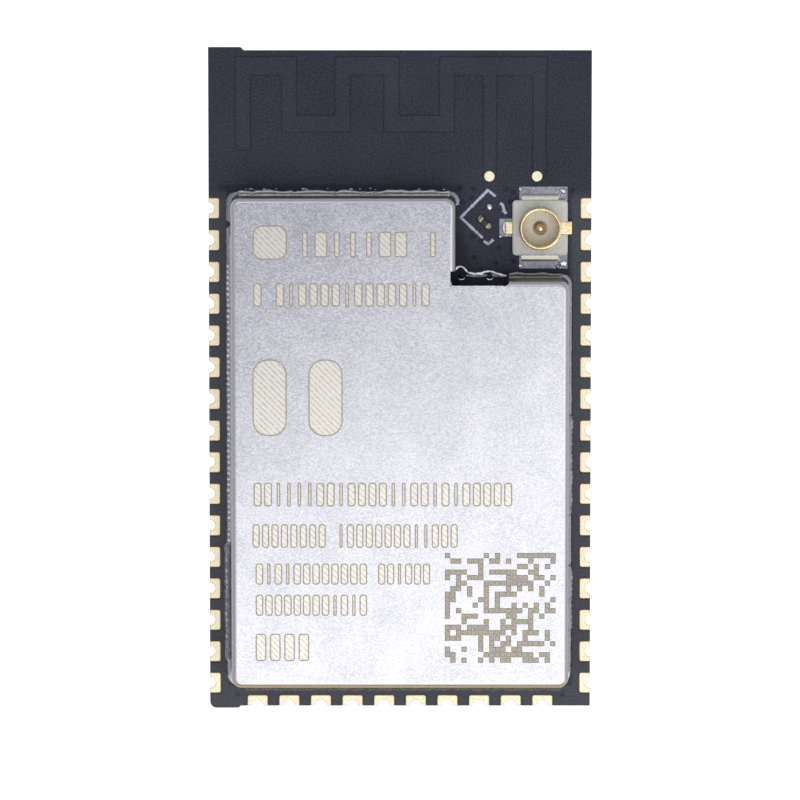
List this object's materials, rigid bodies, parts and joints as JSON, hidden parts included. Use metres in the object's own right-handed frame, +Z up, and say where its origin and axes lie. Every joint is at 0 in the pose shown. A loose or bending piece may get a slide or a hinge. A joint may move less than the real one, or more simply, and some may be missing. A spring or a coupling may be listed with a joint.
{
  "type": "wireless radio module",
  "caption": "Thin edge-castellated radio circuit module with a folded metal shield can, a printed antenna end and a micro coaxial receptacle.",
  "frame": {"origin": "middle of the board's underside, on the plane that is soldered down", "axes": "+Z up from the underside through the can, +Y along the board towards the antenna end, +X across the board towards the receptacle's side"},
  "size_m": [0.018, 0.0313, 0.0033],
  "materials": {
    "laminate": "matt",
    "solder_mask": "semi-gloss",
    "copper": "plain",
    "gold_plate": "satin",
    "tinned_land": "rough",
    "can_sheet": "fine brushed",
    "solder": "bright",
    "receptacle_moulding": "matt",
    "print": "matt",
    "resistor_body": "matt",
    "moulding_compound": "matt",
    "ceramic": "matt",
    "capacitor_ceramic": "matt",
    "ferrite": "matt"
  },
  "bodies": {
    "root": {"board_core": "laminate", "solder_mask_top": "solder_mask", "solder_mask_under": "solder_mask", "antenna_trace": "copper", "via_barrels": "gold_plate", "edge_pads_left": "gold_plate", "edge_pads_right": "gold_plate", "edge_pads_end": "gold_plate", "ground_pads": "gold_plate", "test_pads": "gold_plate", "shield_land": "tinned_land", "shield_can": "can_sheet", "shield_solder": "solder", "slot_solder": "solder", "coax_lands": "tinned_land", "coax_housing": "receptacle_moulding", "coax_shell": "gold_plate", "coax_contact": "gold_plate", "coax_solder": "solder", "selector_lands": "tinned_land", "link_body": "resistor_body", "link_ends": "solder", "spare_solder": "solder", "printed_mark": "print", "component_lands": "tinned_land", "radio_chip": "moulding_compound", "radio_chip_leads": "tinned_land", "memory_chip": "moulding_compound", "memory_leads": "tinned_land", "crystal_base": "ceramic", "crystal_lid": "can_sheet", "capacitor_bodies": "capacitor_ceramic", "capacitor_ends": "solder", "inductor_bodies": "ferrite", "inductor_ends": "solder"}
  },
  "joints": []
}
